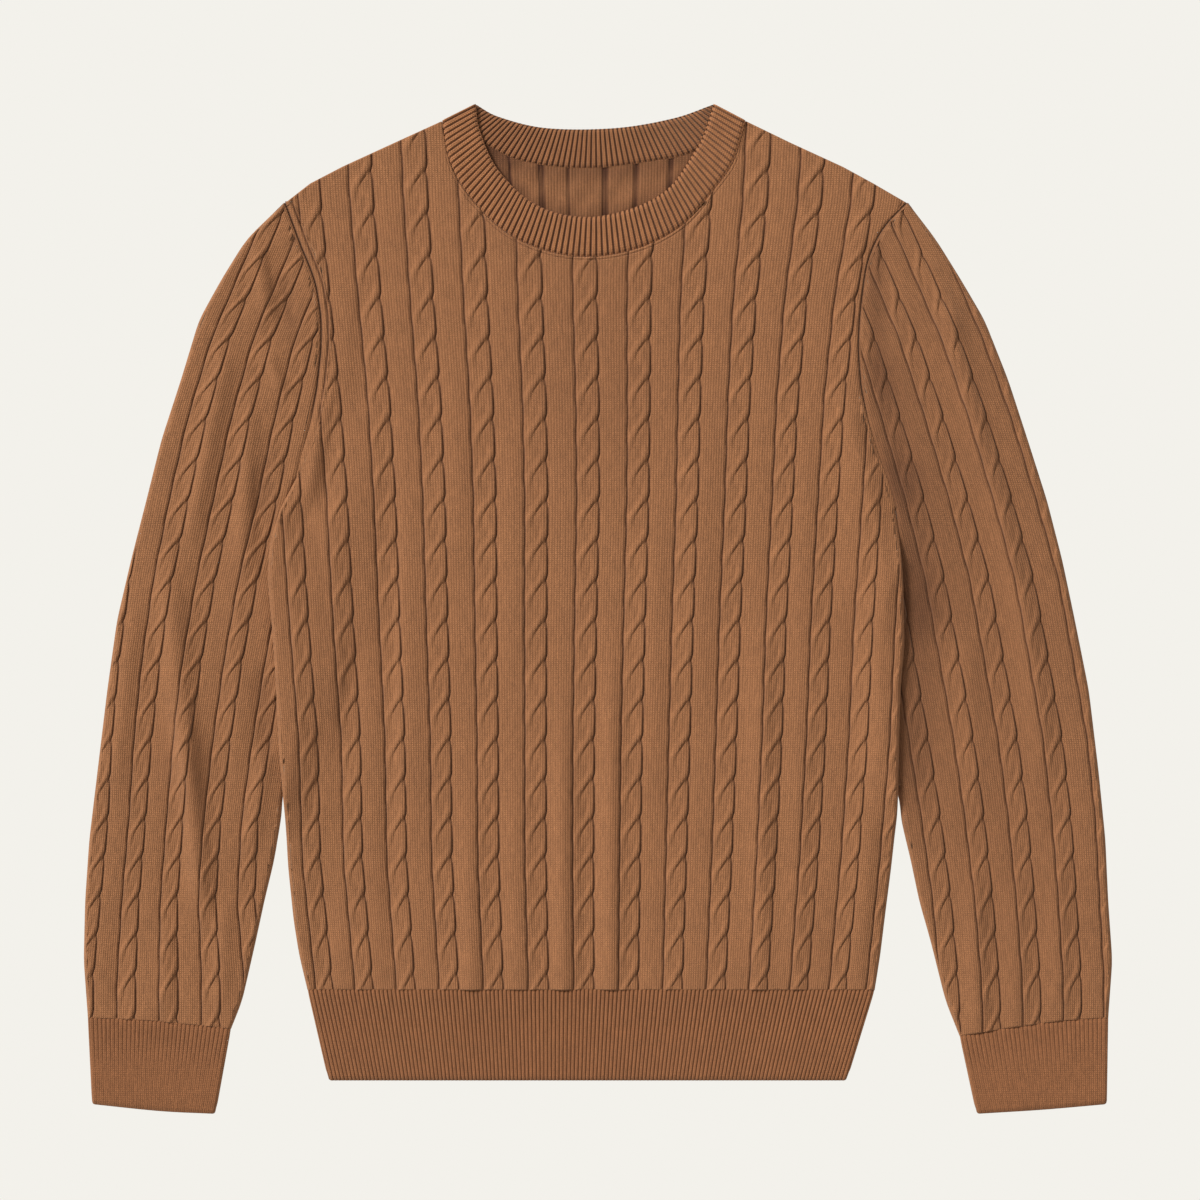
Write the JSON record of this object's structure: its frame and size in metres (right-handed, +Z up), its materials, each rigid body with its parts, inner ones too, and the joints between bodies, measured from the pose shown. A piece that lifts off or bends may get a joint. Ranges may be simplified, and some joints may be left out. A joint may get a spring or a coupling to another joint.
{
  "type": "cable knit sweater",
  "caption": "Fine-gauge crew neck sweater laid flat, with columns of narrow cables and ribbed neckband, cuffs and hem.",
  "frame": {"origin": "on the surface the sweater lies on, under the middle of its outline", "axes": "+Z up out of the surface, +Y from the hem to the neck, +X to the right of a person looking at the front"},
  "size_m": [0.74, 0.726, 0.011],
  "materials": {
    "cable_knit": "soft matt wool, fine gauge",
    "rib_knit": "soft matt wool, one by one rib"
  },
  "bodies": {
    "root": {"back": "cable_knit", "front": "cable_knit", "sleeve_left": "cable_knit", "sleeve_right": "cable_knit", "neckband": "rib_knit", "hem_rib": "rib_knit", "cuff_left": "rib_knit", "cuff_right": "rib_knit"}
  },
  "joints": []
}
